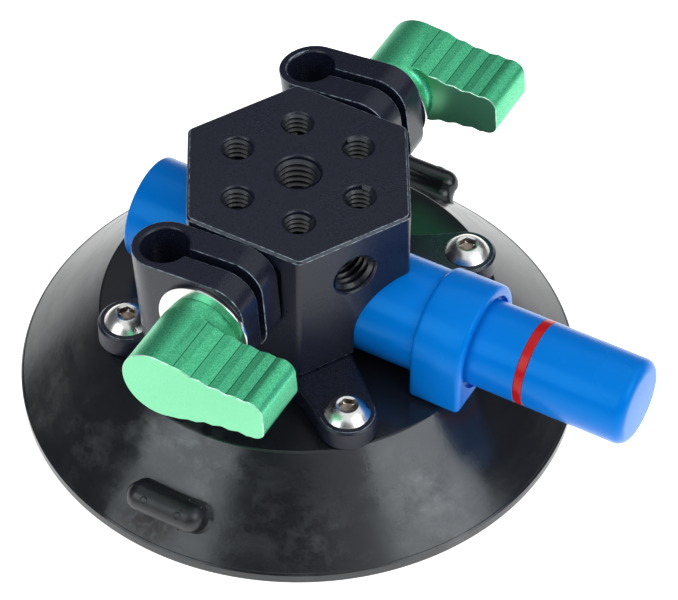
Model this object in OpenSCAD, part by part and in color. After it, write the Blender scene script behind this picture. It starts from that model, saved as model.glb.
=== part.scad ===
// Pump-action suction base with a hexagonal mounting block and two rod clamps.
// Origin: centre of the cup's rim, on the surface that the cup stands on. +Z is up,
// +X runs along the pump towards its plunger, +Y points at the rear rod clamp.

/* [Suction cup] */
// Outer radius of the rim
cup_r = 60; // [55:0.5:75]
// Height of the upright band at the rim
lip_band_h = 2.6; // [1.5:0.1:4]
// Step from the band in to the foot of the cone
lip_step = 0.5; // [0.2:0.1:1]
// Width of the sealing land under the rim
lip_land = 1.8; // [1:0.1:3]
// Rounded edges of the rubber
rubber_ease = 0.4; // [0.2:0.1:0.8]
// Width of the flat top's rubber beyond the backing plate
plateau_margin = 0.3; // [0.2:0.1:3]
// Height of the flat top of the cup
plateau_z = 20.8; // [19:0.1:26]
// Rubber between the flat top and the backing plate
skin_t = 3; // [2:0.1:4]
// Thickness of the rubber facing under the backing plate
liner_t = 3; // [2:0.1:4]
// Width of the vacuum chamber's flat roof beyond the flat top
chamber_roof_step = 1.7; // [1:0.1:3]
// Width of the flexible lip, from the rim in to the chamber's steep wall
lip_w = 8; // [6:0.1:10]
// Height of that knee
chamber_knee_z = 2.6; // [1:0.1:4]

/* [Pull tabs] */
// Length of each tab's grip bar
tab_len = 18; // [12:0.5:24]
// Radius of the grip bar
tab_r = 3.2; // [2.5:0.1:4]
// Distance of the bar's axis out from the cone's face
tab_stand_off = 2.9; // [2:0.1:4]
// Height of the bar's axis above the rim
tab_z = 10.9; // [9:0.1:14]
// Step from the bar in to the tongue behind it
tab_step = 0.3; // [0.2:0.05:1]
// How deep the tab's root reaches into the cone
tab_root = 2; // [1.5:0.1:2.5]

/* [Backing plate] */
// Steel between a corner screw's hole and the edge of the plate
plate_margin = 2.15; // [1.5:0.05:4]
// Thickness of the steel plate
plate_t = 3.5; // [2.5:0.1:5]
// Radius of the rubber flap valve in the plate
valve_r = 2.4; // [1.8:0.1:3]
// Thickness of that flap
valve_t = 1; // [0.5:0.1:1.5]
// Radius of the felt air filter under the plate
filter_r = 6; // [4:0.1:8]
// Thickness of the filter
filter_t = 2.4; // [1:0.1:2.8]

/* [Arm plates] */
// Thickness of the arm plates
arm_t = 5.2; // [4:0.1:8]
// Distance of each corner screw from both centre planes
screw_offset = 26.4; // [24:0.1:28]
// Radius of the arm around its corner screw
boss_r = 6.2; // [5.5:0.1:7]
// Direction of each arm, down from the X axis
arm_angle = 45; // [40:0.5:50]
// Slope of the arm's flank on the side of the pump, degrees inwards
arm_pump_slope = 3; // [0:0.5:5]
// Slope of the arm's other flank where it leaves the boss, degrees outwards
arm_clamp_slope = 6; // [0:0.5:10]
// Width that the hollow curve of that flank adds at the arm's root
arm_flare = 4.4; // [0:0.1:7]
// Bevel along the edges of arms and block
edge_bevel = 0.5; // [0.2:0.1:0.8]
// Length of each arm, from its screw to its root under the block
arm_len = 20; // [18:0.5:24]
// Width of the bridge between two arms, beyond the block screws
arm_bridge = 5; // [4:0.5:7]

/* [Mounting block] */
// Width across the flats of the hexagon
block_af = 45.6; // [44:0.2:50]
// Height of the block above the arm plates
block_h = 33.6; // [33:0.2:40]
// Corner radius of the hexagon
block_corner_r = 1.8; // [0.5:0.1:3]
// Radius of the centre and side threads (3/8 inch)
big_thread_r = 4.7625; // [4:0.0125:5]
// Depth of the centre thread
centre_thread_depth = 13; // [8:0.5:13]
// Depth of the side threads
side_thread_depth = 11; // [7:0.5:12]
// Distance of the side threads below the block's top
side_thread_drop = 10.1; // [10:0.1:12]
// Radius of the ring threads (1/4 inch)
small_thread_r = 3.175; // [2.5:0.025:3.2]
// Depth of the ring threads
small_thread_depth = 7; // [5:0.1:7]
// Radius of the ring that they stand on
small_thread_ring_r = 14.4; // [13.5:0.1:15]
// Width of the countersink at each thread's mouth
thread_lead = 0.35; // [0.1:0.05:0.5]

/* [Pump] */
// Outer radius of the barrel
barrel_r = 11.35; // [11:0.05:12]
// Wall of the barrel
barrel_wall = 1.45; // [1.2:0.05:1.6]
// How far the barrel lies in the groove of the cup's flat top
barrel_sink = 0.4; // [0.2:0.1:0.8]
// Closed end of the barrel, behind the centre
barrel_back = 36.2; // [34:0.1:38]
// Thickness of the closed end
barrel_end_t = 2; // [1.5:0.1:3]
// Radius of the closed end's rounded edge
barrel_round = 0.5; // [0.3:0.1:2]
// Start of the collar, ahead of the centre
collar_x = 33; // [31:0.5:36]
// Length of the collar
collar_len = 11.5; // [10:0.1:14]
// Radius of the collar's arched top, and half its width
collar_r = 12.4; // [12.1:0.05:13]
// Rounded edges of the collar's two ends
collar_edge_r = 1; // [0.4:0.1:1.3]
// Rounded corners of the collar's foot
collar_foot_r = 1.5; // [0.5:0.1:3]
// Thickness of the collar's front wall
collar_wall = 3; // [2:0.1:4]
// Depth of the step in the barrel that the collar fits over
spigot_step = 0.8; // [0.5:0.05:1]
// Radius of the collar's open mouth
collar_mouth_r = 10.2; // [10:0.05:10.8]
// Depth of that mouth
collar_mouth_depth = 1.3; // [0.8:0.1:1.8]
// Distance of the vacuum port behind the centre
port_x = 27; // [25:0.5:28]
// Radius of the vacuum port
port_r = 1.5; // [1:0.1:1.7]
// Radius of the boss round the port
port_boss_r = 4.5; // [3.5:0.1:5.5]
// How far that boss reaches down into the rubber
port_boss_sink = 1.4; // [0.8:0.1:1.8]

/* [Plunger] */
// Radial play of the plunger's stem in the barrel
plunger_play = 0.6; // [0.55:0.05:0.9]
// Outer end of the plunger, ahead of the centre, at rest
plunger_end_x = 79.8; // [74:0.1:86]
// Radius of the rounded outer edge
plunger_round = 2.2; // [1:0.1:3]
// Length of the piston on the inner end
piston_len = 12; // [8:0.5:13]
// Running gap of the plunger in the collar and of the piston in the barrel
running_gap = 0.08; // [0.03:0.01:0.1]
// Red ring: its near edge, ahead of the centre
ring_x = 55.2; // [52:0.1:60]
// Red ring: its width
ring_w = 2.1; // [1.5:0.1:3]
// Red ring: its depth in the plunger
ring_t = 0.8; // [0.5:0.1:1.2]
// Return spring: outer radius
spring_r = 8.2; // [7:0.1:8.5]
// Return spring: wire thickness
spring_wire = 1.2; // [0.8:0.1:1.6]
// Width of the piston seal
seal_w = 3.4; // [2.5:0.1:4]
// Depth of the piston seal's groove
seal_t = 1.6; // [1:0.1:2]

/* [Rod clamps] */
// Drop from the block's top to the clamp studs
stud_drop = 11.4; // [10.5:0.1:13]
// Offset of the studs from the centre, along the pump
stud_x = -0.4; // [-2:0.1:2]
// Distance from stud to rod
rod_offset = 12.3; // [11:0.1:14]
// Radius of the rod bore
rod_r = 5; // [4:0.05:5.2]
// Outer radius of the clamp around the rod, half its thickness
clamp_r = 6.9; // [6.6:0.05:7.5]
// Height of the clamps
clamp_h = 23; // [20:0.5:26]
// Reach of the jaws beyond the stud
jaw_reach = 9.3; // [8:0.1:11]
// Rounded corners of the jaws
jaw_corner_r = 6.5; // [4:0.1:8]
// Width of the slot between the jaws
slot_w = 2.2; // [1.5:0.1:3]
// Turn of the front clamp about its stud, degrees
front_clamp_turn = 4.5; // [-30:0.5:30]
// Turn of the rear clamp about its stud, degrees
rear_clamp_turn = 7.5; // [-30:0.5:30]
// Radius of the friction washers behind the clamps
pad_r = 7; // [6:0.1:8]
// How far they stand out of the block
pad_proud = 0.8; // [0.4:0.1:1.5]
// Depth of their recess in the block
pad_recess = 1.2; // [0.8:0.1:2]
// Half width of that recess
recess_half_w = 9.3; // [8.5:0.1:10]
// Height of that recess
recess_h = 15.6; // [15:0.1:18]
// Corner radius of that recess
recess_corner_r = 1.8; // [1:0.1:3]

/* [Knobs] */
// Radius of the stud (M8)
stud_r = 4; // [3:0.1:4.2]
// Length of stud in the block
stud_grip = 9.5; // [7:0.1:10]
// Length of stud in the knob
stud_in_knob = 12; // [8:0.5:14]
// Running gap round the studs
stud_gap = 0.08; // [0.03:0.01:0.1]
// Radius of the steel washers
washer_r = 10.3; // [9:0.1:11.5]
// Thickness of the steel washers
washer_t = 0.9; // [0.5:0.1:1.5]
// Radius of the knob's hub
hub_r = 8; // [7:0.1:8.8]
// Radius of the hub at the washer
hub_root_r = 7.7; // [6.5:0.1:8]
// Distance from the washer's face to the back of the lever
lever_gap = 4.5; // [3:0.1:6]
// Radius of the hollow between the hub and the back of the lever
scoop_r = 1.4; // [0.6:0.1:2]
// Thickness of the lever
lever_t = 13.5; // [10:0.1:16]
// Reach of the lever from the stud
lever_reach = 24.4; // [22:0.1:30]
// Half width of the lever at its root, beside the hub
lever_root_w = 7.4; // [6.5:0.1:7.6]
// Half width of the lever's waist, behind its tip
lever_waist_w = 4.75; // [3.5:0.05:5]
// Half width of the lever's tip
lever_tip_w = 5; // [4.5:0.1:6]
// Rounded corners of the tip
lever_tip_r = 2.8; // [1.5:0.1:4]
// Length of the smooth tip, beyond the finger ribs
lever_tip_len = 4.1; // [4:0.1:7]
// Start of the finger ribs, out from the stud
rib_start = 4.5; // [4:0.1:5]
// Number of finger ribs along each side
rib_count = 4; // [2:1:6]
// Height of the finger ribs
rib_h = 0.45; // [0.1:0.01:0.6]
// Turn of both levers at rest, degrees above the pump's axis
lever_turn = 4.5; // [-10:0.5:10]

/* [Fasteners] */
// Radius of the corner screws (M5)
corner_screw_r = 2.5; // [2:0.1:2.6]
// Radius of their button heads
button_r = 4.85; // [4:0.05:5]
// Height of their button heads
button_h = 2.75; // [2:0.05:3]
// Width across the flats of their hexagon sockets
socket_af = 3; // [2.5:0.1:3.5]
// Depth of the hexagon sockets of all screws
socket_depth = 1.4; // [1:0.1:2]
// Radius of the block screws (M4)
block_screw_r = 2; // [1.5:0.1:2.5]
// Length of the block screws
block_screw_len = 16; // [12:0.5:20]
// Block screws: distance from the centre along the pump
block_screw_x = 9; // [7:0.5:11]
// Block screws: distance from the pump's axis
block_screw_y = 17; // [16:0.1:18]
// How far the corner screws end short of the plate's underside
screw_short = 0.2; // [0.1:0.1:1]
// Gap round screws in their holes
screw_gap = 0.05; // [0.02:0.01:0.15]
// Gap between pieces that seat on curved faces
seat_gap = 0.15; // [0.05:0.05:0.3]

/* [Hidden] */

$fn = 96;
cut = 0.01;                 // overshoot of a cutter past the face that it opens
corner_steps = 6;           // flats in a rounded corner of the hexagon
edge_steps = 4;             // flats in a rounded edge of the collar

// Radii in the cup, from the corner screws out
plate_r = norm([screw_offset, screw_offset]) + corner_screw_r + plate_margin;
plateau_r = plate_r + plateau_margin;
chamber_roof_r = plateau_r + chamber_roof_step;
chamber_knee_r = cup_r - lip_w;

// Heights in the cup, from the top down
plate_top_z = plateau_z - skin_t;
plate_z = plate_top_z - plate_t;
roof_z = plate_z - liner_t;
// The cone's slope, as a run over a rise, and its face's outward direction
cone_foot_r = cup_r - lip_step;
cone_foot_z = lip_band_h;
cone_run = (cone_foot_r - plateau_r) / (plateau_z - cone_foot_z);
cone_tilt = atan(1 / cone_run);
tab_y = plateau_r + (plateau_z - tab_z) * cone_run + tab_stand_off / sin(cone_tilt);

// Block and arms
arm_top_z = plateau_z + arm_t;
block_top_z = arm_top_z + block_h;
flat_y = block_af / 2;
corner_x = flat_y / cos(30);

// Pump
pump_z = plateau_z + barrel_r - barrel_sink;
bore_r = barrel_r - barrel_wall;
channel_r = barrel_r + seat_gap;
collar_end_x = collar_x + collar_len;
stop_x = collar_end_x - collar_wall;
piston_x = stop_x - piston_len;
plunger_r = bore_r - plunger_play;
piston_r = bore_r - running_gap;
collar_bore_r = plunger_r + running_gap;
spring_back_x = -barrel_back + barrel_end_t;
spigot_r = barrel_r - spigot_step;
port_boss_z = plateau_z - port_boss_sink;
seal_x = piston_x + (piston_len - seal_w) / 2;

// Clamp stack, out from the block's flat
stud_z = block_top_z - stud_drop;
pad_y = flat_y + pad_proud;
rod_y = pad_y + clamp_r;
clamp_y = pad_y + 2 * clamp_r;
hub_y = clamp_y + washer_t;
lever_y = hub_y + lever_gap;
knob_y = lever_y + lever_t;

// ---- shared forms -----------------------------------------------------------

// Points of an arc about (x, y), with n steps
function arc(x, y, r, from, to, n) =
    [for (i = [0 : n]) let (a = from + (to - from) * i / n) [x + r * cos(a), y + r * sin(a)]];

// Outline of a hexagon with its corners on the X axis, width af across its flats
function hexagon(af, r) = [for (k = [0 : 5], p = arc(
    (af / 2 - r) / cos(30) * cos(60 * k), (af / 2 - r) / cos(30) * sin(60 * k),
    r, 60 * k - 30, 60 * k + 30, corner_steps)) p];

// Extrudes a convex outline to height h, with its end edges bevelled by e
module bevelled(h, e) {
    hull() {
        translate([0, 0, e]) linear_extrude(h - 2 * e) children();
        linear_extrude(h) offset(delta = -e) children();
    }
}

// The same for an outline that is hollow in places
module chamfered(h, e) {
    minkowski() {
        translate([0, 0, e]) linear_extrude(h - 2 * e) offset(delta = -e) children();
        for (s = [0, 1]) mirror([0, 0, s]) cylinder(r1 = e, r2 = 0, h = e, $fn = 16);
    }
}

// The same as bevelled(), with end edges rounded to radius r in edge_steps flats
module eased(h, r) {
    hull() for (i = [0 : edge_steps]) let (a = 90 * i / edge_steps, end = r * (1 - sin(a)))
        translate([0, 0, end]) linear_extrude(h - 2 * end) offset(delta = -r * (1 - cos(a))) children();
}

// Places its children in all four quadrants
module at_corners(dx, dy) {
    for (sx = [-1, 1], sy = [-1, 1]) translate([sx * dx, sy * dy, 0]) children();
}

// A cylinder along +X from x0 to x1
module rod_x(r, x0, x1) {
    translate([x0, 0, 0]) rotate([0, 90, 0]) cylinder(r = r, h = x1 - x0);
}

// A cylinder along +Y from y0 to y1
module rod_y_axis(r, y0, y1) {
    translate([0, y0, 0]) rotate([-90, 0, 0]) cylinder(r = r, h = y1 - y0);
}

// A shape turned about the Y axis, from an outline of [radius, distance along +Y]
module turned_y(outline) {
    rotate([-90, 0, 0]) rotate_extrude() polygon(outline);
}

// A blind drilled hole down from z = 0, with a countersunk mouth and a drill's tip
module tapped_hole(r, depth) {
    translate([0, 0, -depth]) cylinder(r = r, h = depth + cut);
    translate([0, 0, -depth - r / 2]) cylinder(r1 = 0, r2 = r, h = r / 2 + cut);
    translate([0, 0, -thread_lead]) cylinder(r1 = r, r2 = r + thread_lead, h = thread_lead);
    cylinder(r = r + thread_lead, h = 1);
}

// Puts what is modelled in +Y on the rear side (1) or the front side (-1)
module on_side(side) {
    if (side > 0) children();
    else mirror([0, 1, 0]) children();
}

// ---- suction cup ------------------------------------------------------------

module pull_tab() {
    straight = tab_len / 2 - tab_r;
    tongue_x = straight - tab_step;
    depth = tab_stand_off + tab_root;
    translate([0, tab_y, tab_z]) {
        translate([-straight, 0, 0]) rotate([0, 90, 0]) cylinder(r = tab_r, h = 2 * straight);
        for (s = [-1, 1]) translate([s * straight, 0, 0]) sphere(r = tab_r);
        // the tongue behind the bar, square to the cone
        rotate([-cone_tilt, 0, 0]) translate([0, 0, -depth])
            linear_extrude(depth) polygon(concat(
                arc(tongue_x, 0, tab_r - tab_step, -90, 90, 12),
                arc(-tongue_x, 0, tab_r - tab_step, 90, 270, 12)));
    }
}

module suction_cup() {
    outer = [
        [0, roof_z], [chamber_roof_r, roof_z], [chamber_knee_r, chamber_knee_z],
        [cup_r - lip_land, 0], [cup_r - rubber_ease, 0], [cup_r, rubber_ease], [cup_r, lip_band_h],
        [cone_foot_r, cone_foot_z], [plateau_r + rubber_ease, plateau_z - rubber_ease / cone_run],
        [plateau_r - rubber_ease, plateau_z], [0, plateau_z]];
    color([0.06, 0.06, 0.065])
    difference() {
        union() {
            rotate_extrude($fn = 180) polygon(outer);
            for (side = [-1, 1]) on_side(side) pull_tab();
        }
        // pocket of the backing plate and its facing
        translate([0, 0, roof_z - 1])
            cylinder(r = plate_r + seat_gap, h = plate_top_z - roof_z + 1, $fn = 180);
        // cradle of the barrel and the hole of its vacuum boss
        translate([0, 0, pump_z])
            rod_x(barrel_r + seat_gap, -barrel_back - 0.5, plateau_r + 1);
        translate([-port_x, 0, plate_top_z - 1])
            cylinder(r = port_boss_r + seat_gap, h = skin_t + 2);
        at_corners(screw_offset, screw_offset) translate([0, 0, plate_top_z - 1])
            cylinder(r = corner_screw_r + 2 * screw_gap, h = skin_t + 2);
    }
}

module backing_plate() {
    color([0.55, 0.56, 0.58])
    translate([0, 0, plate_z]) difference() {
        cylinder(r = plate_r, h = plate_t, $fn = 180);
        at_corners(screw_offset, screw_offset) translate([0, 0, -1])
            cylinder(r = corner_screw_r + screw_gap, h = plate_t + 2);
        translate([-port_x, 0, -1]) cylinder(r = port_r, h = plate_t + 2);
        translate([-port_x, 0, plate_t - valve_t]) cylinder(r = valve_r + screw_gap, h = valve_t + 1);
    }
}

module cup_liner() {
    color([0.07, 0.07, 0.075])
    translate([0, 0, roof_z]) difference() {
        cylinder(r = plate_r, h = liner_t, $fn = 180);
        translate([-port_x, 0, -1]) cylinder(r = filter_r + screw_gap, h = liner_t + 2);
    }
}

// Felt disc that keeps dust out of the pump
module air_filter() {
    color([0.85, 0.83, 0.76])
    translate([-port_x, 0, plate_z - filter_t]) cylinder(r = filter_r, h = filter_t);
}

// Rubber flap that lets air into the pump and not back
module check_valve() {
    color([0.15, 0.15, 0.16])
    translate([-port_x, 0, plate_top_z - valve_t]) cylinder(r = valve_r, h = valve_t);
}

module port_seal() {
    ring_h = port_boss_z - plate_top_z;
    color([0.1, 0.1, 0.1])
    translate([-port_x, 0, plate_top_z]) difference() {
        cylinder(r = port_boss_r, h = ring_h);
        translate([0, 0, -1]) cylinder(r = valve_r + screw_gap, h = ring_h + 2);
    }
}

// ---- arm plates and block ---------------------------------------------------

// One arm, from its corner screw in under the block, in +X, +Y: straight along the pump,
// flared in a hollow curve on the side of the clamp
module arm_outline() {
    steps = 8;
    pump_flank = [arm_len, boss_r - arm_len * tan(arm_pump_slope)];
    clamp_flank = [for (i = [steps : -1 : 1]) let (t = i / steps)
        [arm_len * t, -boss_r - arm_len * t * tan(arm_clamp_slope) - arm_flare * t * t]];
    translate([screw_offset, screw_offset]) rotate([0, 0, arm_angle + 180])
        polygon(concat(clamp_flank, arc(0, 0, boss_r, -90, -270, 24), [pump_flank]));
}

module arm_plate(side) {
    color([0.12, 0.12, 0.15])
    on_side(side) difference() {
        intersection() {
            union() {
                for (s = [0, 1]) mirror([s, 0, 0]) translate([0, 0, plateau_z])
                    chamfered(arm_t, edge_bevel) arm_outline();
                // bridge between the two arms, under the block
                translate([-block_screw_x - arm_bridge, channel_r, plateau_z])
                    cube([2 * (block_screw_x + arm_bridge), flat_y - edge_bevel - channel_r, arm_t]);
            }
            translate([-cup_r, channel_r, 0]) cube([2 * cup_r, cup_r, 2 * arm_top_z]);
        }
        at_corners(screw_offset, screw_offset) translate([0, 0, plateau_z - 1])
            cylinder(r = corner_screw_r + 2 * screw_gap, h = arm_t + 2);
        at_corners(block_screw_x, block_screw_y) translate([0, 0, plateau_z])
            block_screw_space(screw_gap);
    }
}

// The countersunk space of a block screw, standing on its head's face
module block_screw_space(gap) {
    translate([0, 0, -1]) cylinder(r = block_screw_r + gap, h = block_screw_len + 1 + gap);
    cylinder(r1 = 2 * block_screw_r + gap, r2 = block_screw_r + gap, h = block_screw_r);
    translate([0, 0, -1]) cylinder(r = 2 * block_screw_r + gap, h = 1 + cut);
}

module block_screws() {
    color([0.6, 0.6, 0.62])
    at_corners(block_screw_x, block_screw_y) translate([0, 0, plateau_z]) difference() {
        union() {
            cylinder(r = block_screw_r, h = block_screw_len);
            cylinder(r1 = 2 * block_screw_r, r2 = block_screw_r, h = block_screw_r);
        }
        // hexagon socket, 1.25 times the screw's radius across the flats
        translate([0, 0, -1]) cylinder(r = 0.625 * block_screw_r / cos(30), h = socket_depth + 1, $fn = 6);
    }
}

// Recess of a friction washer in the block's flat: a milled pocket with round corners
module pad_pocket() {
    w = recess_half_w - recess_corner_r;
    h = recess_h / 2 - recess_corner_r;
    translate([stud_x, flat_y - pad_recess, stud_z]) {
        translate([-w, 0, -recess_h / 2]) cube([2 * w, pad_recess + 1, recess_h]);
        translate([-recess_half_w, 0, -h]) cube([2 * recess_half_w, pad_recess + 1, 2 * h]);
        for (sx = [-1, 1], sz = [-1, 1]) translate([sx * w, 0, sz * h])
            rod_y_axis(recess_corner_r, 0, pad_recess + 1);
    }
}

module mounting_block() {
    color([0.12, 0.12, 0.15])
    difference() {
        translate([0, 0, arm_top_z]) bevelled(block_h, edge_bevel)
            polygon(hexagon(block_af, block_corner_r));
        // channel of the pump barrel
        translate([0, 0, pump_z]) rod_x(channel_r, -corner_x - 1, corner_x + 1);
        translate([-corner_x - 1, -channel_r, arm_top_z - 1])
            cube([2 * corner_x + 2, 2 * channel_r, pump_z - arm_top_z + 1]);
        // centre thread, ring of small threads, side threads
        translate([0, 0, block_top_z]) {
            tapped_hole(big_thread_r, centre_thread_depth);
            for (k = [0 : 5]) rotate([0, 0, 60 * k])
                translate([small_thread_ring_r, 0, 0]) tapped_hole(small_thread_r, small_thread_depth);
        }
        for (a = [-150, -30, 30, 150]) rotate([0, 0, a])
            translate([flat_y, 0, block_top_z - side_thread_drop])
                rotate([0, 90, 0]) tapped_hole(big_thread_r, side_thread_depth);
        for (side = [-1, 1]) on_side(side) {
            pad_pocket();
            translate([stud_x, 0, stud_z]) rod_y_axis(stud_r + stud_gap,
                flat_y - pad_recess - stud_grip - 0.5, flat_y);
        }
        at_corners(block_screw_x, block_screw_y) translate([0, 0, plateau_z])
            block_screw_space(screw_gap);
    }
}

module corner_screws() {
    dome_r = (button_r * button_r + button_h * button_h) / (2 * button_h);
    shank = arm_t + skin_t + plate_t - screw_short;
    // the dome falls this much from its top to the corners of the socket
    socket_rise = dome_r - sqrt(dome_r * dome_r - pow(socket_af / 2 / cos(30), 2));
    color([0.78, 0.78, 0.8])
    at_corners(screw_offset, screw_offset) translate([0, 0, arm_top_z]) difference() {
        union() {
            translate([0, 0, -shank]) cylinder(r = corner_screw_r, h = shank + cut);
            intersection() {
                translate([0, 0, button_h - dome_r]) sphere(r = dome_r);
                cylinder(r = button_r, h = button_h);
            }
        }
        translate([0, 0, button_h - socket_depth - socket_rise])
            cylinder(r = socket_af / 2 / cos(30), h = button_h, $fn = 6);
    }
}

// ---- pump -------------------------------------------------------------------

module pump_barrel() {
    back = -barrel_back;
    color([0.02, 0.35, 0.85])
    difference() {
        union() {
            translate([0, 0, pump_z]) {
                rod_x(barrel_r, back + barrel_round, collar_x);
                rod_x(spigot_r, 0, stop_x);
                rod_x(barrel_r - barrel_round, back, 0);
                translate([back + barrel_round, 0, 0]) rotate([0, 90, 0])
                    rotate_extrude() translate([barrel_r - barrel_round, 0]) circle(r = barrel_round, $fn = 48);
            }
            translate([-port_x, 0, port_boss_z]) cylinder(r = port_boss_r, h = pump_z - port_boss_z);
        }
        translate([0, 0, pump_z]) rod_x(bore_r, spring_back_x, stop_x + 1);
        translate([-port_x, 0, port_boss_z - 1]) cylinder(r = port_r, h = pump_z - port_boss_z);
    }
}

// Outline of the collar: an arch of radius r with straight sides and a flat foot
function arch(r, foot, corner_r) = concat(
    arc(0, 0, r, 0, 180, 36),
    arc(corner_r - r, corner_r - foot, corner_r, 180, 270, corner_steps),
    arc(r - corner_r, corner_r - foot, corner_r, 270, 360, corner_steps));

module pump_collar() {
    color([0.02, 0.35, 0.85])
    translate([collar_x, 0, pump_z]) difference() {
        rotate([90, 0, 90]) eased(collar_len, collar_edge_r)
            polygon(arch(collar_r, pump_z - plateau_z, collar_foot_r));
        rod_x(spigot_r + screw_gap, -1, collar_len - collar_wall);
        rod_x(collar_bore_r, -1, collar_len + 1);
        rod_x(collar_mouth_r, collar_len - collar_mouth_depth, collar_len + 1);
    }
}

module plunger() {
    color([0.02, 0.35, 0.85])
    translate([0, 0, pump_z]) difference() {
        union() {
            rod_x(piston_r, piston_x, stop_x);
            rod_x(plunger_r, piston_x, plunger_end_x - plunger_round);
            rod_x(plunger_r - plunger_round, piston_x, plunger_end_x);
            translate([plunger_end_x - plunger_round, 0, 0]) rotate([0, 90, 0])
                rotate_extrude() translate([plunger_r - plunger_round, 0])
                    circle(r = plunger_round, $fn = 48);
        }
        // groove of the piston seal, and groove of the red ring
        ring_space(piston_r + 1, piston_r - seal_t, seal_x, seal_w);
        ring_space(plunger_r + 1, plunger_r - ring_t, ring_x, ring_w);
    }
}

// A square ring about the pump's axis
module ring_space(r_out, r_in, x, w) {
    difference() {
        rod_x(r_out, x, x + w);
        rod_x(r_in, x - 1, x + w + 1);
    }
}

module indicator_ring() {
    color([0.85, 0.05, 0.06])
    translate([0, 0, pump_z]) ring_space(plunger_r, plunger_r - ring_t, ring_x, ring_w);
}

module piston_seal() {
    color([0.1, 0.1, 0.1])
    translate([0, 0, pump_z]) difference() {
        ring_space(piston_r + running_gap / 2, piston_r - seal_t + screw_gap, seal_x, seal_w);
        // the open side of the lip seal, towards the vacuum
        ring_space(piston_r - seal_t * 0.3, piston_r - seal_t * 0.6, seal_x - 1, seal_w * 0.5 + 1);
    }
}

module return_spring() {
    color([0.7, 0.7, 0.72])
    translate([0, 0, pump_z])
        ring_space(spring_r, spring_r - spring_wire, spring_back_x, piston_x - spring_back_x);
}

// ---- rod clamps -------------------------------------------------------------

module pad(side) {
    color([0.2, 0.2, 0.22])
    on_side(side) translate([stud_x, 0, stud_z]) difference() {
        rod_y_axis(pad_r, flat_y - pad_recess, pad_y);
        rod_y_axis(stud_r + stud_gap, 0, clamp_y);
    }
}

// A cutter that leaves one corner of the jaws round, for the corner at +X, +Z
module corner_cutter() {
    difference() {
        translate([jaw_reach - jaw_corner_r, pad_y - 1, clamp_h / 2 - jaw_corner_r])
            cube([jaw_corner_r + 1, 2 * clamp_r + 2, jaw_corner_r + 1]);
        translate([jaw_reach - jaw_corner_r, 0, clamp_h / 2 - jaw_corner_r])
            rod_y_axis(jaw_corner_r, pad_y - 2, clamp_y + 2);
    }
}

module clamp(side, turn) {
    color([0.12, 0.12, 0.15])
    on_side(side) translate([stud_x, 0, stud_z]) rotate([0, -turn, 0]) difference() {
        union() {
            translate([-rod_offset, rod_y, -clamp_h / 2]) cylinder(r = clamp_r, h = clamp_h);
            translate([-rod_offset, pad_y, -clamp_h / 2])
                cube([rod_offset + jaw_reach, 2 * clamp_r, clamp_h]);
        }
        for (s = [0, 1]) mirror([0, 0, s]) corner_cutter();
        // rod bore with eased mouths, slot between the jaws, hole of the stud
        translate([-rod_offset, rod_y, -clamp_h / 2 - 1]) cylinder(r = rod_r, h = clamp_h + 2);
        for (s = [0, 1]) mirror([0, 0, s]) translate([-rod_offset, rod_y, clamp_h / 2 - thread_lead])
            cylinder(r1 = rod_r, r2 = rod_r + thread_lead + cut, h = thread_lead + cut);
        translate([-rod_offset, rod_y - slot_w / 2, -clamp_h / 2 - 1])
            cube([rod_offset + jaw_reach + 1, slot_w, clamp_h + 2]);
        rod_y_axis(stud_r + stud_gap, pad_y - 1, clamp_y + 1);
    }
}

module washer(side) {
    color([0.8, 0.8, 0.82])
    on_side(side) translate([stud_x, 0, stud_z]) difference() {
        rod_y_axis(washer_r, clamp_y, hub_y);
        rod_y_axis(stud_r + stud_gap, clamp_y - 1, hub_y + 1);
    }
}

module stud(side) {
    color([0.7, 0.7, 0.72])
    on_side(side) translate([stud_x, 0, stud_z])
        rod_y_axis(stud_r, flat_y - pad_recess - stud_grip, hub_y + stud_in_knob);
}

// Half width of the lever between its ribs, at a distance u from the stud: it
// narrows from the root in a hollow curve, and is straight towards the tip
rib_end = lever_reach - lever_tip_len;
waist_power = 2.3;
function waist(u) = lever_waist_w
    + (lever_root_w - lever_waist_w) * pow((rib_end - u) / (rib_end - rib_start), waist_power);

// One side of the lever, with V-shaped finger ribs. The ribs of the two sides are
// staggered by half a rib: a ridge on one side (ridge 1) faces a valley on the other (ridge 0)
function lever_side(ridge) =
    let (step = (rib_end - rib_start) / rib_count / 2)
    [for (i = [0 : 2 * rib_count]) let (u = rib_start + step * i)
        [u, waist(u) + (i > 0 && i % 2 == 1 - ridge ? rib_h : 0)]];

// Outline of the lever: from the hub's circle along one side, round the tip and back
module lever_outline() {
    hub = hub_r * [sin(14), cos(14)];
    tip = arc(lever_reach - lever_tip_r, lever_tip_w - lever_tip_r, lever_tip_r, 100, 0, 12);
    upper = concat([hub], lever_side(0), tip);
    lower = concat([hub], lever_side(1), tip);
    polygon(concat([[0, 0]], upper, [for (i = [len(lower) - 1 : -1 : 0]) [lower[i][0], -lower[i][1]]]));
}

// Outline of the space that the lever fills, as [radius, distance along Y]: it lies
// ahead of its back, with a hollow quarter turn from the hub out to that back
function lever_space() = concat(
    [[0, knob_y + 1], [0, lever_y - scoop_r]],
    arc(hub_r + scoop_r, lever_y - scoop_r, scoop_r, 180, 90, 6),
    [[lever_reach + 5, lever_y], [lever_reach + 5, knob_y + 1]]);

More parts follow.
